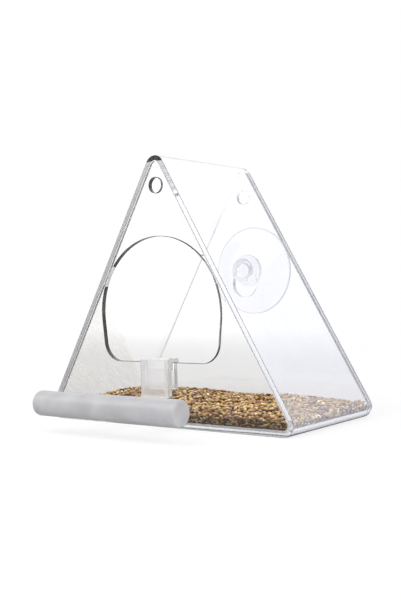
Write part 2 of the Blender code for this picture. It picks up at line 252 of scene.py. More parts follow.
# The world's levels: each step holds where it starts and ends, and the level before and after it
OVERHEAD_STEP = (0.3, 0.6, 1, 1.35)
RIGHT_STEP = (0.42, 0.58, 1, 0.75)
FRONT_STEP = (0.15, 0.5, 0.85, 1.2)
REARWARD_STEP = (-0.3, 0.4, 0, 1)
REAR_LEVEL = 1.12
MIRRORED_STEP = (-0.2, 0.5, 0.12, 1)
SOFT_LEVEL = 0.62

# The floor's levels, in the same order
FLOOR_SHADE = 0.72
FLOOR_RING_STEP = (0.28, 0.75, FLOOR_SHADE, 1)
FLOOR_GLOW_STEP = (FLOOR_SHADE, 1, 1.07, 1)
# Painted shade of the floor as the clear sheet shows it: grey near the feeder, white far behind
FLOOR_BEHIND_STEP = (-0.12, 0.30, 0.70, 0.86)
FLOOR_FAR_STEP = (0.3, 1.1, 0, 0.26)
FLOOR_BESIDE_STEP = (0.07, 0.10, 0, 0.5)
FLOOR_MIRRORED = 0.06


def new_material(name):
    """A node material and its Principled shader."""
    material = bpy.data.materials.new(name)
    material.use_nodes = True
    return material, material.node_tree.nodes["Principled BSDF"]


def set_inputs(node, **values):
    """Set a node's sockets, named with underscores for spaces."""
    for name, value in values.items():
        node.inputs[name.replace("_", " ")].default_value = value


class Wiring:
    """Short calls for building a shader node tree."""

    def __init__(self, tree):
        self.nodes = tree.nodes
        self.links = tree.links

    def put(self, value, socket):
        """Set a socket to a number or colour, or link it to another node's output."""
        if isinstance(value, bpy.types.NodeSocket):
            self.links.new(value, socket)
        else:
            socket.default_value = value

    def place(self):
        """Places in the object's own space, as a vector."""
        return self.nodes.new("ShaderNodeTexCoord").outputs["Object"]

    def axes(self, vector):
        """The X, Y and Z outputs of a vector."""
        node = self.nodes.new("ShaderNodeSeparateXYZ")
        self.put(vector, node.inputs["Vector"])
        return node.outputs

    def noise(self, scale, detail):
        """Cloudy noise in the object's own space."""
        node = self.nodes.new("ShaderNodeTexNoise")
        set_inputs(node, Scale=scale, Detail=detail)
        self.put(self.place(), node.inputs["Vector"])
        return node.outputs["Fac"]

    def math(self, operation, first, second):
        """A Math node of two values."""
        node = self.nodes.new("ShaderNodeMath")
        node.operation = operation
        self.put(first, node.inputs[0])
        self.put(second, node.inputs[1])
        return node.outputs["Value"]

    def ramp(self, value, start, end, low, high):
        """A smooth step from low to high as the value goes from start to end."""
        node = self.nodes.new("ShaderNodeMapRange")
        node.interpolation_type = "SMOOTHSTEP"
        set_inputs(node, From_Min=start, From_Max=end, To_Min=low, To_Max=high)
        self.put(value, node.inputs["Value"])
        return node.outputs["Result"]

    def mix(self, share, first, second):
        """A blend of two numbers."""
        node = self.nodes.new("ShaderNodeMix")
        self.put(share, node.inputs["Factor"])
        self.put(first, node.inputs["A"])
        self.put(second, node.inputs["B"])
        return node.outputs["Result"]

    def blend(self, share, first, second):
        """A blend of two colours."""
        node = self.nodes.new("ShaderNodeMix")
        node.data_type = "RGBA"
        self.put(share, node.inputs["Factor"])
        self.put(first, node.inputs["A"])
        self.put(second, node.inputs["B"])
        return node.outputs["Result"]


def add_noise_bump(material, shader, scale, strength, depth, detail):
    """A fine unevenness in the surface, from noise in the object's own space."""
    wiring = Wiring(material.node_tree)
    noise = wiring.noise(scale, detail)
    bump = wiring.nodes.new("ShaderNodeBump")
    set_inputs(bump, Strength=strength, Distance=depth)
    wiring.put(noise, bump.inputs["Height"])
    wiring.put(bump.outputs["Normal"], shader.inputs["Normal"])
    return noise


def clear_sheet_material():
    """Polished faces of the clear panels, with the faint waviness of cast acrylic."""
    material, shader = new_material("clear_sheet")
    set_inputs(shader, Base_Color=(1, 1, 1, 1), Roughness=0.0, IOR=ACRYLIC_IOR, Transmission_Weight=1.0)
    add_noise_bump(material, shader, scale=28, strength=0.02, depth=0.001, detail=1)
    return material


def hazy_sheet_material():
    """Outer faces of the bent sheet, with an uneven haze of dust and scratches that thickens low down."""
    material, shader = new_material("hazy_sheet")
    set_inputs(shader, Roughness=0.0, IOR=ACRYLIC_IOR)
    add_noise_bump(material, shader, scale=28, strength=0.02, depth=0.001, detail=1)
    wiring = Wiring(material.node_tree)
    clear = wiring.ramp(wiring.noise(scale=34, detail=5), *HAZE_NOISE_STEP)
    low_down = wiring.ramp(wiring.axes(wiring.place())["Z"], *HAZE_HEIGHT_STEP)
    clear = wiring.math("MULTIPLY", clear, low_down)

    # Light that runs inside the sheet doesn't meet what lies on its faces
    inside = wiring.nodes.new("ShaderNodeNewGeometry").outputs["Backfacing"]
    wiring.put(wiring.mix(inside, clear, 1), shader.inputs["Transmission Weight"])
    wiring.put(wiring.blend(inside, HAZE_TINT, (1, 1, 1, 1)), shader.inputs["Base Color"])
    return material


def cut_edge_material(name, shade):
    """Sawn and flame-polished edges of the sheet, a little duller than its faces, with a grey tint given
    per edge as painted shade.
    """
    material, shader = new_material(name)
    set_inputs(
        shader, Base_Color=(*shade, 1), Roughness=0.08, IOR=ACRYLIC_IOR, Transmission_Weight=1.0
    )
    return material


def matt_edge_material(name, shade, clear_share):
    """Edges of the sheet that were sawn and left matt, with a grey tint given per edge as painted shade.
    """
    material, shader = new_material(name)
    set_inputs(
        shader, Base_Color=(*shade, 1), Roughness=0.4, IOR=ACRYLIC_IOR, Transmission_Weight=clear_share
    )
    return material


def hole_edge_material():
    """Cut rims of the openings, painted near black as shade where the light runs off into the sheet."""
    material, shader = new_material("hole_edge")
    set_inputs(
        shader,
        Base_Color=(0.04, 0.04, 0.045, 1),
        Roughness=0.1,
        IOR=ACRYLIC_IOR,
        Transmission_Weight=0.2,
    )
    return material


def clip_material(name, clear_share):
    """Glued sheet of the perch clip, handled and slightly milky on the faces that light enters."""
    material, shader = new_material(name)
    set_inputs(shader, Base_Color=(0.99, 0.985, 0.985, 1), Roughness=0.04, IOR=ACRYLIC_IOR)
    wiring = Wiring(material.node_tree)
    inside = wiring.nodes.new("ShaderNodeNewGeometry").outputs["Backfacing"]
    wiring.put(wiring.mix(inside, clear_share, 1), shader.inputs["Transmission Weight"])
    return material


def clip_side_material(name, clear_share):
    """Sawn sides of the perch clip."""
    material, shader = new_material(name)
    set_inputs(
        shader,
        Base_Color=(0.97, 0.97, 0.97, 1),
        Roughness=0.1 + 0.5 * (1 - clear_share),
        IOR=ACRYLIC_IOR,
        Transmission_Weight=clear_share,
    )
    return material


def frosted_material():
    """Frosted perch: milky, with a fine matt grain."""
    material, shader = new_material("frosted_perch")
    set_inputs(
        shader,
        Roughness=0.33,
        IOR=ACRYLIC_IOR,
        Transmission_Weight=0.12,
        Subsurface_Weight=0.25,
        Subsurface_Scale=0.004,
    )
    add_noise_bump(material, shader, scale=2600, strength=0.12, depth=0.0002, detail=3)
    wiring = Wiring(material.node_tree)
    shade = wiring.nodes.new("ShaderNodeValToRGB")
    for element, (position, colour) in zip(shade.color_ramp.elements, FROST_SHADES):
        element.position = position
        element.color = colour
    wiring.put(wiring.noise(scale=90, detail=3), shade.inputs["Fac"])
    wiring.put(shade.outputs["Color"], shader.inputs["Base Color"])
    return material


def soft_cup_material(name, shade):
    """Clear soft vinyl of the suction cup."""
    material, shader = new_material(name)
    set_inputs(shader, Base_Color=(*shade, 1), Roughness=0.12, IOR=VINYL_IOR, Transmission_Weight=1.0)
    return material


def seed_material():
    """Seed husk: a tint for each grain, with fine streaks and a dry sheen."""
    material, shader = new_material("seed_husk")
    set_inputs(shader, Roughness=0.42, IOR=1.5, Specular_IOR_Level=0.14)
    streak = add_noise_bump(material, shader, scale=1400, strength=0.25, depth=0.0002, detail=4)
    wiring = Wiring(material.node_tree)
    tint = wiring.nodes.new("ShaderNodeAttribute")
    tint.attribute_name = "tint"
    shade = wiring.nodes.new("ShaderNodeMapRange")
    set_inputs(shade, From_Min=0.3, From_Max=0.7, To_Min=0.75, To_Max=1.25)
    wiring.put(streak, shade.inputs["Value"])
    mixed = wiring.nodes.new("ShaderNodeMix")
    mixed.data_type = "RGBA"
    mixed.blend_type = "MULTIPLY"
    set_inputs(mixed, Factor=1)
    wiring.put(tint.outputs["Color"], mixed.inputs["A"])
    wiring.put(shade.outputs["Result"], mixed.inputs["B"])
    wiring.put(mixed.outputs["Result"], shader.inputs["Base Color"])
    return material


def painted_shade_core_material():
    """Painted shade: the dark between the grains."""
    material, shader = new_material("painted_shade_core")
    set_inputs(shader, Base_Color=(0.030, 0.018, 0.009, 1), Roughness=0.9)
    add_noise_bump(material, shader, scale=700, strength=0.8, depth=0.001, detail=4)
    return material


def arc_points(centre, radius, start, end, steps):
    """Points along an arc, both ends included."""
    points = []
    for step in range(steps + 1):
        angle = start + (end - start) * step / steps
        points.append((centre[0] + radius * math.cos(angle), centre[1] + radius * math.sin(angle)))
    return points


def circle_points(centre, radius):
    """Points round a full circle, without repeating the first."""
    return arc_points(centre, radius, 0, math.tau, HOLE_STEPS)[:-1]


def filleted_outline(corners, radii, steps):
    """A closed outline through the corners, each rounded by its own radius."""
    outline = []
    for index, corner in enumerate(corners):
        here = Vector(corner)
        before = (Vector(corners[index - 1]) - here).normalized()
        after = (Vector(corners[(index + 1) % len(corners)]) - here).normalized()
        radius = radii[index]
        if radius == 0:
            outline.append(corner)
            continue
        half_angle = before.angle(after) / 2
        centre = here + (before + after).normalized() * radius / math.sin(half_angle)
        reach = radius / math.tan(half_angle)
        first = here + before * reach - centre
        last = here + after * reach - centre
        start = math.atan2(first.y, first.x)
        sweep = (math.atan2(last.y, last.x) - start + math.pi) % math.tau - math.pi
        outline += arc_points(centre, radius, start, start + sweep, steps)
    return outline


def triangle_outline(inset):
    """The house's triangle, moved in from its outside by inset, as (x, z) points."""
    half_side = SIDE_LENGTH / 2 - ROOT_3 * inset
    corners = [(-half_side, inset), (half_side, inset), (0, HOUSE_HEIGHT - 2 * inset)]
    return filleted_outline(corners, [BEND_RADIUS - inset] * 3, BEND_STEPS)


def opening_outline():
    """The feeding opening, with the clip's notch in its sill."""
    centre = (0, OPENING_CENTRE_Z)
    arch = arc_points(centre, OPENING_RADIUS, -OPENING_LEAN, math.pi + OPENING_LEAN, ARC_STEPS)
    drop = OPENING_CENTRE_Z - SILL_Z
    corner_x = (OPENING_RADIUS - drop * math.sin(OPENING_LEAN)) / math.cos(OPENING_LEAN)
    notch_half = CLIP_WIDTH / 2 + SEAT_GAP
    corners = [
        arch[-1],
        (-corner_x, SILL_Z),
        (-notch_half, SILL_Z),
        (-notch_half, NOTCH_Z),
        (notch_half, NOTCH_Z),
        (notch_half, SILL_Z),
        (corner_x, SILL_Z),
        arch[0],
    ]
    radii = [0, OPENING_FILLET, 0, 0, 0, 0, OPENING_FILLET, 0]
    return arch + filleted_outline(corners, radii, FILLET_STEPS)[1:-1]


def keyhole_outline():
    """A round entry with a narrower slot above it."""
    entry_z = CUP_Z - CUP_TRAVEL
    slot_end_z = CUP_Z + NECK_RADIUS + SEAT_GAP - KEY_SLOT_RADIUS
    corner = math.acos(KEY_SLOT_RADIUS / KEY_ENTRY_RADIUS)
    entry = arc_points((0, entry_z), KEY_ENTRY_RADIUS, math.pi - corner, math.tau + corner, HOLE_STEPS)
    slot_end = arc_points((0, slot_end_z), KEY_SLOT_RADIUS, 0, math.pi, HOLE_STEPS // 2)
    return entry + slot_end


def saddle_outline():
    """Side view of the clip: front leg, bridge in the notch, and rear lip, as (y, z) from the panel."""
    leg_back = -SEAT_GAP
    leg_front = leg_back - CLIP_SHEET
    lip_front = SHEET + SEAT_GAP
    lip_back = lip_front + CLIP_SHEET
    lip_z = CLIP_TOP_Z - REAR_LIP_LENGTH
    bridge_z = NOTCH_Z + SEAT_GAP
    corners = [
        (leg_front, CLIP_LOW[2]),
        (leg_back, CLIP_LOW[2]),
        (leg_back, bridge_z),
        (lip_front, bridge_z),
        (lip_front, lip_z),
        (lip_back, lip_z),
        (lip_back, CLIP_TOP_Z),
        (leg_front, CLIP_TOP_Z),
    ]
    radii = [0, 0, 0, 0, CLIP_EDGE_RADIUS, CLIP_EDGE_RADIUS, CLIP_EDGE_RADIUS, 0]
    return filleted_outline(corners, radii, EDGE_STEPS)


def arm_outline():
    """Side view of the angle: an upright leg, a bend, and a tongue forward into the perch."""
    leg_back = -(SEAT_GAP + CLIP_SHEET + SEAT_GAP)
    leg_front = leg_back - ARM_SHEET
    tongue_end = ARM_LOW[1] - FRONT_Y
    tongue_low = ROD_Z - ARM_SHEET / 2
    tongue_high = tongue_low + ARM_SHEET
    corners = [
        (tongue_end, tongue_low),
        (leg_back, tongue_low),
        (leg_back, CLIP_TOP_Z),
        (leg_front, CLIP_TOP_Z),
        (leg_front, tongue_high),
        (tongue_end, tongue_high),
    ]
    radii = [0, ARM_BEND_RADIUS + ARM_SHEET, 0, CLIP_EDGE_RADIUS, ARM_BEND_RADIUS, 0]
    return filleted_outline(corners, radii, FILLET_STEPS)


def cup_profile():
    """Half section of the cup as (radius, height), with height 0 on the rear panel's outer face."""
    panel_front = SHEET + SEAT_GAP
    head_top = panel_front + HEAD_LENGTH
    head_side = panel_front + HEAD_EDGE_RADIUS
    dome_height = head_top - head_side
    profile = []

    # Domed mushroom head, then its rounded edge and flat underside
    for step in range(FILLET_STEPS + 1):
        angle = QUARTER * (1 - step / FILLET_STEPS)
        profile.append((HEAD_RADIUS * math.cos(angle), head_side + dome_height * math.sin(angle)))
    profile[0] = (0, head_top)
    edge_centre = (HEAD_RADIUS - HEAD_EDGE_RADIUS, head_side)
    profile += arc_points(edge_centre, HEAD_EDGE_RADIUS, 0, -QUARTER, EDGE_STEPS)[1:]
    profile.append((NECK_RADIUS, panel_front))

    # Neck through the panel, then the hub that bears on the panel's back
    profile.append((NECK_RADIUS, -SEAT_GAP))
    hub_centre = (HUB_RADIUS - HUB_EDGE_RADIUS, -SEAT_GAP - HUB_EDGE_RADIUS)
    profile += arc_points(hub_centre, HUB_EDGE_RADIUS, QUARTER, 0, EDGE_STEPS)

    # Front of the dish, which flares from the hub out to the rim
    dish_start = -SEAT_GAP - HUB_LENGTH
    dish_end = CUP_RIM_THICKNESS - CUP_STAND_OFF
    for step in range(DISH_STEPS + 1):
        share = step / DISH_STEPS
        radius = HUB_RADIUS + (CUP_RADIUS - HUB_RADIUS) * share
        height = dish_start + (dish_end - dish_start) * math.sin(QUARTER * share) ** 2
        profile.append((radius, height))

    # Sealing ring, then the hollow up to the axis
    profile.append((CUP_RADIUS, -CUP_STAND_OFF))
    hollow_radius = CUP_RADIUS - CUP_RIM_WIDTH
    for step in range(DISH_STEPS + 1):
        share = 1 - step / DISH_STEPS
        height = CUP_HOLLOW * math.cos(QUARTER * share) - CUP_STAND_OFF
        profile.append((hollow_radius * share, height))
    return profile


def add_object(name, mesh):
    """Link a mesh to the scene as an object."""
    item = bpy.data.objects.new(name, mesh)
    bpy.context.scene.collection.objects.link(item)
    return item


def curve_to_mesh(curve_object):
    """Replace a filled curve object by a mesh object with its caps welded on."""
    bpy.context.view_layer.update()
    depsgraph = bpy.context.evaluated_depsgraph_get()
    mesh = bpy.data.meshes.new_from_object(curve_object.evaluated_get(depsgraph))
    mesh.transform(curve_object.matrix_world)
    shape = bmesh.new()
    shape.from_mesh(mesh)
    bmesh.ops.remove_doubles(shape, verts=shape.verts, dist=MERGE_DISTANCE)
    bmesh.ops.recalc_face_normals(shape, faces=shape.faces)
    shape.to_mesh(mesh)
    shape.free()
    name = curve_object.name
    bpy.data.objects.remove(curve_object)
    return add_object(name, mesh)


def sheet_piece(name, outlines, thickness, place, turn):
    """A flat outline with holes, extruded to a sheet with lightly rounded edges."""
    curve = bpy.data.curves.new(name + "_outline", "CURVE")
    curve.dimensions = "2D"
    curve.fill_mode = "BOTH"
    curve.extrude = thickness / 2 - EDGE_ROUND
    curve.bevel_depth = EDGE_ROUND
    curve.bevel_resolution = EDGE_ROUND_STEPS
    curve.offset = -EDGE_ROUND
    for outline in outlines:
        spline = curve.splines.new("POLY")
        spline.points.add(len(outline) - 1)
        for point, (across, up) in zip(spline.points, outline):
            point.co = (across, up, 0, 1)
        spline.use_cyclic_u = True
    item = bpy.data.objects.new(name, curve)
    item.location = place
    item.rotation_euler = turn
    bpy.context.scene.collection.objects.link(item)
    item = curve_to_mesh(item)
    smooth(item)
    return item


def side_bar(name, outline):
    """A bar drawn in (y, z) from the front panel's face, as wide as the clip."""
    return sheet_piece(name, [outline], CLIP_WIDTH, (0, FRONT_Y, 0), (QUARTER, 0, QUARTER))


def turned(name, profile, place, turn):
    """A turned solid about its own Z, from (radius, height) points that run from the top down."""
    mesh = bpy.data.meshes.new(name)
    points = [(radius, 0, height) for radius, height in profile]
    edges = [(index, index + 1) for index in range(len(points) - 1)]
    mesh.from_pydata(points, edges, [])
    item = add_object(name, mesh)
    item.location = place
    item.rotation_euler = turn
    screw = item.modifiers.new("turn", "SCREW")
    screw.axis = "Z"
    screw.angle = math.tau
    screw.steps = TURN_STEPS
    screw.render_steps = TURN_STEPS
    screw.use_merge_vertices = True
    screw.merge_threshold = MERGE_DISTANCE
    screw.use_smooth_shade = True
    return item


def applied(item):
    """Replace an object by a mesh object of what its modifiers make."""
    bpy.context.view_layer.update()
    depsgraph = bpy.context.evaluated_depsgraph_get()
    mesh = bpy.data.meshes.new_from_object(item.evaluated_get(depsgraph))
    mesh.transform(item.matrix_world)
    name = item.name
    bpy.data.objects.remove(item)
    item = add_object(name, mesh)
    smooth(item)
    return item


def smooth(item):
    """Smooth shading that keeps flat faces flat and real edges sharp."""
    item.data.shade_smooth()
    item.data.set_sharp_from_angle(angle=SMOOTH_ANGLE)
    weighted = item.modifiers.new("flat_faces", "WEIGHTED_NORMAL")
    weighted.keep_sharp = True


def give_materials(item, *materials):
    """Give an object its materials, the first of them all over."""
    item.data.materials.clear()
    for material in materials:
        item.data.materials.append(material)


def finish_piece(piece, body, node):
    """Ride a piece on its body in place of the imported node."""
    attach(piece, body)
    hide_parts(node)


def shell_region(polygon):
    """The region of the bent sheet that a face is in, by its place and the way it faces."""
    middle = polygon.center
    facing = polygon.normal.y
    side = "right" if middle.x > 0 or middle.z < BEND_RADIUS else "left"
    outward = polygon.normal.x * middle.x + polygon.normal.z * (middle.z - HOUSE_HEIGHT / 3)
    if facing < -ROUND_FACE_SHARE and middle.z > SHELL_HIGH[2] - BEND_RADIUS / 2:
        return "ridge"
    if facing < -END_FACE_SHARE:
        return "front_" + side
    if facing > END_FACE_SHARE or (facing > ROUND_FACE_SHARE and side == "left"):
        return "rear_" + side
    if facing > ROUND_FACE_SHARE:
        return "rear_corner"
    if facing < -ROUND_FACE_SHARE:
        return "corner"
    return "outside" if outward > 0 else "inside"


def add_shell(materials):
    """The bent sheet, with a material for each of its regions."""
    outlines = [triangle_outline(0), triangle_outline(SHEET)]
    shell = sheet_piece("bent_shell", outlines, REAR_Y - FRONT_Y, (0, MIDDLE_Y, 0), (QUARTER, 0, 0))
    slots = {}
    for name, material in materials.items():
        slots[name] = len(slots)
        shell.data.materials.append(material)
    for polygon in shell.data.polygons:
        polygon.material_index = slots[shell_region(polygon)]
    finish_piece(shell, "house", "body_shell")


def on_outer_outline(place):
    """Whether a point lies on the rim of a panel, and not round one of its holes."""
    slope_gap = ROOT_3 / 2 * (SIDE_LENGTH / 2 - abs(place.x)) - place.z / 2
    return min(slope_gap, place.z) < SHEET + 2 * SEAT_GAP + BEND_RADIUS / 4


def in_notch(place):
    """Whether a point lies in the sill's notch, under the perch clip."""
    return abs(place.x) < CLIP_WIDTH / 2 + 2 * SEAT_GAP and place.z < SILL_Z


def add_panel(name, node, holes, middle_y, materials):
    """A clear triangular panel, with materials for its faces, left rim, right rim and holes."""
    outlines = [triangle_outline(SHEET + SEAT_GAP)] + holes
    panel = sheet_piece(name, outlines, SHEET, (0, middle_y, 0), (QUARTER, 0, 0))
    give_materials(panel, *materials)
    for polygon in panel.data.polygons:
        if abs(polygon.normal.y) >= FLAT_FACE_SHARE:
            continue
        if on_outer_outline(polygon.center):
            polygon.material_index = 2 if polygon.center.x > 0 else 1
        elif not in_notch(polygon.center):
            polygon.material_index = 3
    finish_piece(panel, "house", node)


def add_house():
    """The bent sheet and the two panels in it, with the look of each cut edge; the tints that differ from
    edge to edge are painted shade.
    """
    clear = clear_sheet_material()
    pale_edge = cut_edge_material("pale_edge", (0.90, 0.91, 0.93))
    hole_edge = hole_edge_material()
    # The grey and near black tints of the cut edges are painted shade for how light runs through the
    # sheet and off its edges
    add_shell({
        "inside": clear,
        "outside": hazy_sheet_material(),
        "ridge": hole_edge,
        "corner": cut_edge_material("cut_corner", (0.20, 0.21, 0.22)),
        "front_left": matt_edge_material("front_left_edge", (0.42, 0.43, 0.45), clear_share=0.5),
        "front_right": cut_edge_material("front_right_edge", (0.66, 0.67, 0.69)),
        "rear_left": clear,
        "rear_right": pale_edge,
        "rear_corner": hole_edge,
    })

    front_joint = matt_edge_material("joint_edge", (0.88, 0.89, 0.91), clear_share=0.3)
    front_holes = [opening_outline(), circle_points((0, FRONT_HOLE_Z), HANG_HOLE_RADIUS)]
    front_y = (FRONT_LOW[1] + FRONT_HIGH[1]) / 2
    front_materials = (clear, front_joint, front_joint, hole_edge)
    add_panel("clear_front", "front_panel", front_holes, front_y, front_materials)

    # The rear panel's right rim is painted darker as shade
    rear_joint = matt_edge_material("rear_joint_edge", (0.30, 0.31, 0.33), clear_share=0.4)
    rear_holes = [keyhole_outline(), circle_points((0, REAR_HOLE_Z), HANG_HOLE_RADIUS)]
    rear_y = (REAR_LOW[1] + REAR_HIGH[1]) / 2
    rear_materials = (clear, clear, rear_joint, pale_edge)
    add_panel("clear_back", "rear_panel", rear_holes, rear_y, rear_materials)


def add_clip():
    """The clip over the sill and the angle on its front, with matt sides."""
    for name, outline, node, (face_share, side_share) in (
        ("sill_clip", saddle_outline(), "perch_saddle", CLIP_CLEAR_SHARES),
        ("clip_angle", arm_outline(), "perch_arm", ANGLE_CLEAR_SHARES),
    ):
        bar = side_bar(name, outline)
        sides = clip_side_material(name + "_side", side_share)
        give_materials(bar, clip_material(name, face_share), sides)
        for polygon in bar.data.polygons:
            if abs(polygon.normal.x) > SIDE_FACE_SHARE:
                polygon.material_index = 1
        finish_piece(bar, "perch", node)


def add_rod(material):
    """The frosted perch with softened ends, slotted at the back for the angle."""
    half = ROD_LENGTH / 2
    shoulder = ROD_RADIUS - ROD_END_RADIUS
    top = arc_points((shoulder, half - ROD_END_RADIUS), ROD_END_RADIUS, QUARTER, 0, EDGE_STEPS)
    bottom = arc_points((shoulder, ROD_END_RADIUS - half), ROD_END_RADIUS, 0, -QUARTER, EDGE_STEPS)
    profile = [(0, half)] + top + bottom + [(0, -half)]
    rod = turned("round_perch", profile, (0, ROD_Y, ROD_Z), (0, QUARTER, 0))

    # The slot runs from behind the rod to just past the angle's end
    slot_end = ARM_LOW[1] - SEAT_GAP
    slot_length = ROD_HIGH[1] + SEAT_GAP - slot_end
    bpy.ops.mesh.primitive_cube_add(size=1, location=(0, slot_end + slot_length / 2, ROD_Z))
    cutter = bpy.context.object
    cutter.scale = (CLIP_WIDTH + 2 * SEAT_GAP, slot_length, ARM_SHEET + 2 * SEAT_GAP)
    cut = rod.modifiers.new("slot", "BOOLEAN")
    cut.operation = "DIFFERENCE"
    cut.solver = "EXACT"
    cut.object = cutter
    rod = applied(rod)
    bpy.data.objects.remove(cutter)
    give_materials(rod, material)
    finish_piece(rod, "perch", "perch_rod")


def add_cup(material, middle, rim):
    """The soft cup, turned about the level axis of its neck, duller where it is thick, and with a grey
    rim that is painted shade for the dark outline of its edge.
    """
    cup = applied(turned("soft_suction_cup", cup_profile(), (0, REAR_Y, CUP_Z), (QUARTER, 0, 0)))
    give_materials(cup, material, middle, rim)
    for polygon in cup.data.polygons:
        reach = math.hypot(polygon.center.x, polygon.center.z - CUP_Z)
        if reach < HUB_RADIUS:
            polygon.material_index = 1
        elif reach > CUP_RADIUS - CUP_RIM_THICKNESS:
            polygon.material_index = 2
    finish_piece(cup, "cup", "suction_cup")


def seed_top(x, y):
    """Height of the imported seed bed's surface at places x, y, read inside its slanted edges."""
    reach_x = SEED_HIGH[0] - 2 * SEED_LENGTH
    x = np.clip(x, -reach_x, reach_x)
    y = np.clip(y, SEED_LOW[1] + SEED_WALL_GAP, SEED_HIGH[1] - SEED_WALL_GAP)
    heights = []
    for place_x, place_y in zip(np.atleast_1d(x), np.atleast_1d(y)):
        hit = SEED_SOLID.ray_cast(Vector((place_x, place_y, HOUSE_HEIGHT)), Vector((0, 0, -1)))[0]
        heights.append(hit.z)
    return np.array(heights)


def grain_shape(rings):
    """Points and triangles of one plump pointed grain along X, one unit long and thick."""
    sides = GRAIN_SIDES
    points = [(-0.5, 0, 0)]
    for ring in range(1, rings + 1):
        share = ring / (rings + 1)
        radius = 0.5 * math.sin(math.pi * share) ** SEED_PLUMPNESS
        for side in range(sides):
            angle = math.tau * (side + ring / 2) / sides
            points.append((share - 0.5, radius * math.cos(angle), radius * math.sin(angle)))
    points.append((0.5, 0, 0))
    faces = []
    last = len(points) - 1
    for side in range(sides):
        after = (side + 1) % sides
        faces.append((0, 1 + after, 1 + side))
        for ring in range(rings - 1):
            low = 1 + ring * sides
            high = low + sides
            faces.append((low + side, low + after, high + side))
            faces.append((low + after, high + after, high + side))
        top = last - sides
        faces.append((top + side, top + after, last))
    return np.array(points), np.array(faces)


def turn_matrices(yaw, pitch):
    """Rotation matrices that pitch about Y and then yaw about Z."""
    cos_yaw, sin_yaw = np.cos(yaw), np.sin(yaw)
    cos_pitch, sin_pitch = np.cos(pitch), np.sin(pitch)
    zero = np.zeros_like(yaw)
    rows = [
        [cos_yaw * cos_pitch, -sin_yaw, cos_yaw * sin_pitch],
        [sin_yaw * cos_pitch, cos_yaw, sin_yaw * sin_pitch],
        [-sin_pitch, zero, cos_pitch],
    ]
    return np.moveaxis(np.array(rows), 2, 0)


def push_inside(points):
    """Move whole grains, points[grain, corner, axis], back inside the house's walls."""
    walls = [
        ((0, -1, 0), -INNER_FRONT_Y),
        ((0, 1, 0), INNER_REAR_Y),
        ((0, 0, -1), -(SEED_FLOOR_Z - SEAT_GAP)),
        ((ROOT_3 / 2, 0, 0.5), ROOT_3 / 4 * SIDE_LENGTH - SHEET),
        ((-ROOT_3 / 2, 0, 0.5), ROOT_3 / 4 * SIDE_LENGTH - SHEET),
    ]
    bend_reach = BEND_RADIUS - SHEET - SEED_WALL_GAP
    grains = np.arange(len(points))
    for _ in range(PUSH_ROUNDS):
        for side in (-1, 1):
            across = points[:, :, 0] * side - BEND_X
            up = points[:, :, 2] - BEND_RADIUS
            reach = np.hypot(across, up)
            outside = np.where((across > 0) & (up < across / ROOT_3), reach - bend_reach, 0)
            worst = outside.argmax(axis=1)
            depth = np.maximum(outside[grains, worst], 0)
            far = np.maximum(reach[grains, worst], bend_reach)
            points[:, :, 0] -= (side * depth * across[grains, worst] / far)[:, None]
            points[:, :, 2] -= (depth * up[grains, worst] / far)[:, None]
        for normal, distance in walls:
            reach = sum(points[:, :, axis] * normal[axis] for axis in range(3)).max(axis=1)
            depth = np.maximum(reach - distance + SEED_WALL_GAP, 0)
            for axis in range(3):
                points[:, :, axis] -= (depth * normal[axis])[:, None]
    return points


def laid_grains(draw, x, y, z, yaw, pitch, shape, shade):
    """Corners and tints of grains at places x, y, z, each with its own size and colour, and painted shade
    from its underside to its top.
    """
    count = len(x)
    spreads = zip(SEED_SIZES, SEED_SIZE_SPREADS)
    sizes = np.stack([size * draw.uniform(*spread, count) for size, spread in spreads], axis=1)
    points, faces = shape
    local = points[None, :, :] * sizes[:, None, :]
    turns = turn_matrices(yaw, pitch)
    corners = (turns[:, None, :, :] * local[:, :, None, :]).sum(axis=3)
    corners += np.stack([x, y, z], axis=1)[:, None, :]
    corners = push_inside(corners)
    tints = np.array([tint for tint, weight in SEED_TINTS for _ in range(weight)])
    chosen = tints[draw.integers(0, len(tints), count)]
    chosen = chosen * draw.uniform(*SEED_TINT_SPREAD, (count, 1)) * shade
    lift = (corners[:, :, 2] - corners[:, :, 2].min(axis=1)[:, None]) / sizes[:, 2][:, None]
    # Painted shade: each grain is darker low down and lighter at its top
    grain_painted_shade = GRAIN_UNDERSIDE_PAINTED_SHADE + GRAIN_TOP_PAINTED_LIGHT * np.clip(lift, 0, 1) ** 2
    return corners, chosen[:, None, :] * grain_painted_shade[:, :, None], faces


def spread(draw, low, high, spacing):
    """Jittered grid places between two limits, as two flat arrays."""
    counts = [max(1, round((high[axis] - low[axis]) / spacing)) for axis in (0, 1)]
    first, second = np.meshgrid(np.arange(counts[0]), np.arange(counts[1]), indexing="ij")
    stray = SEED_JITTER_SHARE
    first = first.ravel() + 0.5 + draw.uniform(-stray, stray, first.size)
    second = second.ravel() + 0.5 + draw.uniform(-stray, stray, second.size)
    first = low[0] + (high[0] - low[0]) * first / counts[0]
    second = low[1] + (high[1] - low[1]) * second / counts[1]
    return first, second


def flat_layer(draw, drop, spacing, shape, shade):
    """Grains lying flat, below the bed's surface by drop."""
    widest = SEED_HIGH[0] + SEED_WIDTH / 2
    x, y = spread(draw, (-widest, INNER_FRONT_Y), (widest, INNER_REAR_Y), spacing)
    yaw = draw.uniform(0, math.tau, x.size)
    pitch = draw.normal(0, TOP_TIP, x.size)
    z = seed_top(x, y) - SEED_HEIGHT / 2 - drop + draw.normal(0, SEED_UNEVEN, x.size)
    return laid_grains(draw, x, y, z, yaw, pitch, shape, shade)


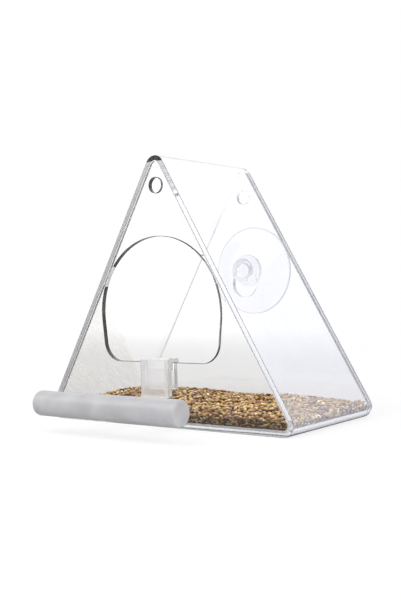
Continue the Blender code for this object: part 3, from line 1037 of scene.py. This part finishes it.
def floor_layer(draw, shape):
    """Grains lying on the clear floor, seen from below."""
    widest = SEED_HIGH[0]
    x, y = spread(draw, (-widest, INNER_FRONT_Y), (widest, INNER_REAR_Y), FLOOR_SPACING)
    yaw = draw.uniform(0, math.tau, x.size)
    pitch = draw.normal(0, FLOOR_TIP, x.size)
    z = np.full(x.size, SEED_FLOOR_Z)
    return laid_grains(draw, x, y, z, yaw, pitch, shape, BOTTOM_PAINTED_SHADE)


def wall_layer(draw, shape, axis, ends, wall_at, shade):
    """Grains that lean in rows on one wall, which runs along an axis between two ends."""
    columns = round((ends[1] - ends[0]) / WALL_SPACING)
    along = np.tile(np.arange(columns), WALL_ROWS) + draw.uniform(0, 1, columns * WALL_ROWS)
    along = ends[0] + (ends[1] - ends[0]) * along / columns
    share = np.repeat(np.arange(WALL_ROWS), columns) + draw.uniform(0, 1, along.size)
    across = np.full(along.size, wall_at)
    x, y = (across, along) if axis else (along, across)
    bottom = SEED_FLOOR_Z + SEED_HEIGHT / 2
    z = bottom + (seed_top(x, y) - SEED_HEIGHT / 2 - bottom) * share / WALL_ROWS
    yaw = axis * QUARTER + draw.normal(0, WALL_TURN, along.size)
    pitch = draw.uniform(-WALL_TIP, WALL_TIP, along.size)
    return laid_grains(draw, x, y, z, yaw, pitch, shape, shade)


def wall_layers(draw, shape):
    """Grains that lean on the two panels and the two roof slopes, below the surface."""
    layers = []
    width = (SEED_LOW[0], SEED_HIGH[0])
    depth = (INNER_FRONT_Y, INNER_REAR_Y)
    for wall_y in depth:
        layers.append(wall_layer(draw, shape, 0, width, wall_y, WALL_PAINTED_SHADE))
    for side in (-1, 1):
        wall_x = side * (SEED_HIGH[0] + SEED_WIDTH)
        # Grains on the roof slopes are painted paler and bluer, a painted veil of light
        layers.append(wall_layer(draw, shape, 1, depth, wall_x, SLOPE_PAINTED_VEIL))
    return layers


def mesh_of_grains(name, layers):
    """One mesh of many grains, with their tints as a colour attribute."""
    corners, colours, faces = [], [], []
    base = 0
    for layer_corners, layer_colours, layer_faces in layers:
        count, each = layer_corners.shape[:2]
        corners.append(layer_corners.reshape(-1, 3))
        colours.append(layer_colours.reshape(-1, 3))
        offsets = base + each * np.arange(count)
        faces.append((layer_faces[None, :, :] + offsets[:, None, None]).reshape(-1, 3))
        base += count * each
    corners = np.concatenate(corners)
    colours = np.concatenate(colours)
    faces = np.concatenate(faces)
    mesh = bpy.data.meshes.new(name)
    mesh.from_pydata(corners.tolist(), [], faces.tolist())
    tint = mesh.color_attributes.new("tint", "FLOAT_COLOR", "POINT")
    colours = np.concatenate([colours, np.ones((base, 1))], axis=1)
    tint.data.foreach_set("color", colours.ravel().tolist())
    mesh.shade_smooth()
    return mesh


def add_seeds(husk):
    """Loose grains on top of the bed, under its surface, on the floor and along the walls."""
    draw = np.random.default_rng(SEED_DRAW)
    fine = grain_shape(FINE_RINGS)
    plain = grain_shape(PLAIN_RINGS)
    layers = [
        # Each layer's tints carry painted shade: lighter on top, darker below
        flat_layer(draw, 0, TOP_SPACING, fine, TOP_PAINTED_LIGHT),
        flat_layer(draw, UNDER_DROP, UNDER_SPACING, plain, UNDER_PAINTED_SHADE),
        floor_layer(draw, plain),
    ]
    layers += wall_layers(draw, fine)
    seeds = add_object("loose_seed", mesh_of_grains("loose_seed", layers))
    give_materials(seeds, husk)
    finish_piece(seeds, "house", "seed_bed")


def add_painted_shade_core(dark):
    """A dark slab inside the seed, painted shade that shows only between the grains."""
    shape = bmesh.new()
    bmesh.ops.create_grid(shape, x_segments=CORE_COLUMNS, y_segments=CORE_ROWS, size=0.5)
    below = bmesh.ops.extrude_face_region(shape, geom=list(shape.faces))["geom"]
    lower = {item for item in below if isinstance(item, bmesh.types.BMVert)}
    length = REAR_Y - FRONT_Y - 2 * (SHEET + CORE_INSET)
    for vertex in shape.verts:
        vertex.co.x *= 2 * BEND_X
        vertex.co.y = MIDDLE_Y + vertex.co.y * length
        if vertex in lower:
            vertex.co.z = SEED_FLOOR_Z + SEED_HEIGHT / 2
        else:
            vertex.co.z = float(seed_top(vertex.co.x, vertex.co.y)[0]) - CORE_DROP
    bmesh.ops.recalc_face_normals(shape, faces=shape.faces)
    mesh = bpy.data.meshes.new("painted_shade_core")
    shape.to_mesh(mesh)
    shape.free()
    core = add_object("painted_shade_core", mesh)
    give_materials(core, dark)
    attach(core, "house")


def add_camera():
    """The photograph's camera."""
    camera = bpy.data.objects.new("camera", bpy.data.cameras.new("camera"))
    bpy.context.scene.collection.objects.link(camera)
    camera.data.lens = CAMERA_LENS
    camera.data.sensor_width = SENSOR_SIZE
    camera.data.clip_start = CAMERA_NEAR
    turn = Matrix.Rotation(CAMERA_AZIMUTH, 4, "Z") @ Matrix.Rotation(QUARTER - CAMERA_DROP, 4, "X")
    turn = turn @ Matrix.Rotation(CAMERA_ROLL, 4, "Z")
    camera.matrix_world = Matrix.Translation(CAMERA_PLACE) @ turn
    bpy.context.scene.camera = camera


def add_softbox(name, place, width, height, power):
    """A soft rectangular lamp aimed at the house."""
    light = bpy.data.lights.new(name, "AREA")
    light.shape = "RECTANGLE"
    light.size = width
    light.size_y = height
    light.energy = power
    item = bpy.data.objects.new(name, light)
    item.location = place
    aim = Vector(LAMP_AIM) - Vector(place)
    item.rotation_euler = aim.to_track_quat("-Z", "Y").to_euler()

    # The lamp lights the feeder, but doesn't show in the picture or through the glass
    item.visible_camera = False
    item.visible_transmission = False
    bpy.context.scene.collection.objects.link(item)


def add_world():
    """White background for the camera, soft light on the feeder, and shades in and through its glass."""
    world = bpy.data.worlds.new("studio")
    bpy.context.scene.world = world
    world.use_nodes = True
    wiring = Wiring(world.node_tree)
    background = wiring.nodes["Background"]
    set_inputs(background, Color=(1, 1, 1, 1))
    direction = wiring.axes(wiring.nodes.new("ShaderNodeTexCoord").outputs["Generated"])
    overhead = wiring.ramp(direction["Z"], *OVERHEAD_STEP)
    around = wiring.math("MULTIPLY", overhead, wiring.ramp(direction["X"], *RIGHT_STEP))
    rearward = wiring.ramp(direction["Y"], *REARWARD_STEP)
    ahead = wiring.mix(rearward, wiring.ramp(direction["Z"], *FRONT_STEP), REAR_LEVEL)
    through = wiring.math("MULTIPLY", ahead, around)
    mirrored = wiring.ramp(direction["Y"], *MIRRORED_STEP)
    path = wiring.nodes.new("ShaderNodeLightPath").outputs
    level = wiring.mix(path["Is Glossy Ray"], SOFT_LEVEL, mirrored)
    level = wiring.mix(path["Is Transmission Ray"], level, through)
    level = wiring.mix(path["Is Camera Ray"], level, 1)
    wiring.put(level, background.inputs["Strength"])


def add_floor():
    """A plain pale floor that keeps a light shadow near the feeder and is white further out, with painted
    grey shade near the feeder where the clear sheet shows it.
    """
    bpy.ops.mesh.primitive_circle_add(
        vertices=FLOOR_SIDES, radius=FLOOR_RADIUS, fill_type="NGON", location=(0, 0, -FLOOR_DROP)
    )
    floor = bpy.context.object
    floor.name = "floor"
    material, shader = new_material("pale_floor")
    set_inputs(shader, Base_Color=(0.88, 0.88, 0.88, 1), Roughness=0.8)
    wiring = Wiring(material.node_tree)
    place = wiring.place()
    axes = wiring.axes(place)
    distance = wiring.nodes.new("ShaderNodeVectorMath")
    distance.operation = "LENGTH"
    wiring.put(place, distance.inputs[0])

    # What the camera sees: the floor's own shade near the feeder, and white further out
    near = wiring.ramp(distance.outputs["Value"], *FLOOR_RING_STEP)
    bright = wiring.ramp(near, *FLOOR_GLOW_STEP)

    # What the clear sheet shows of it: painted shade, grey before and near the feeder, and white far
    # behind
    seen = wiring.ramp(axes["Y"], *FLOOR_BEHIND_STEP)
    seen = wiring.math("ADD", seen, wiring.ramp(axes["Y"], *FLOOR_FAR_STEP))
    seen = wiring.math("ADD", seen, wiring.ramp(axes["X"], *FLOOR_BESIDE_STEP))

    path = wiring.nodes.new("ShaderNodeLightPath").outputs
    camera = path["Is Camera Ray"]
    seen = wiring.mix(path["Is Transmission Ray"], FLOOR_MIRRORED, seen)
    glass = wiring.math("MAXIMUM", path["Is Glossy Ray"], path["Is Transmission Ray"])
    share = wiring.math("MAXIMUM", wiring.math("MULTIPLY", camera, near), glass)
    glow = wiring.nodes.new("ShaderNodeEmission")
    wiring.put(wiring.mix(camera, seen, bright), glow.inputs["Strength"])
    mixed = wiring.nodes.new("ShaderNodeMixShader")
    wiring.put(share, mixed.inputs["Fac"])
    wiring.put(shader.outputs["BSDF"], mixed.inputs[1])
    wiring.put(glow.outputs["Emission"], mixed.inputs[2])
    wiring.put(mixed.outputs["Shader"], wiring.nodes["Material Output"].inputs["Surface"])
    give_materials(floor, material)


def allow_long_light_paths():
    """Let light run far enough inside the sheets for their cut edges to glow."""
    paths = bpy.context.scene.cycles
    paths.max_bounces = PATH_BOUNCES
    paths.glossy_bounces = PATH_BOUNCES
    paths.transmission_bounces = PATH_BOUNCES


def build():
    """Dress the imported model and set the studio."""
    add_camera()
    add_house()
    add_clip()
    add_rod(frosted_material())
    add_cup(
        soft_cup_material("soft_cup", (0.98, 0.98, 0.99)),
        soft_cup_material("cup_middle", (0.88, 0.89, 0.90)),
        # The rim's grey is painted shade for the dark outline at the cup's edge
        soft_cup_material("cup_rim", (0.52, 0.52, 0.56)),
    )
    add_seeds(seed_material())
    add_painted_shade_core(painted_shade_core_material())
    add_floor()
    add_world()
    for name, lamp in LAMPS.items():
        add_softbox(name, *lamp)
    allow_long_light_paths()
    bpy.context.scene.view_settings.view_transform = "Standard"


build()
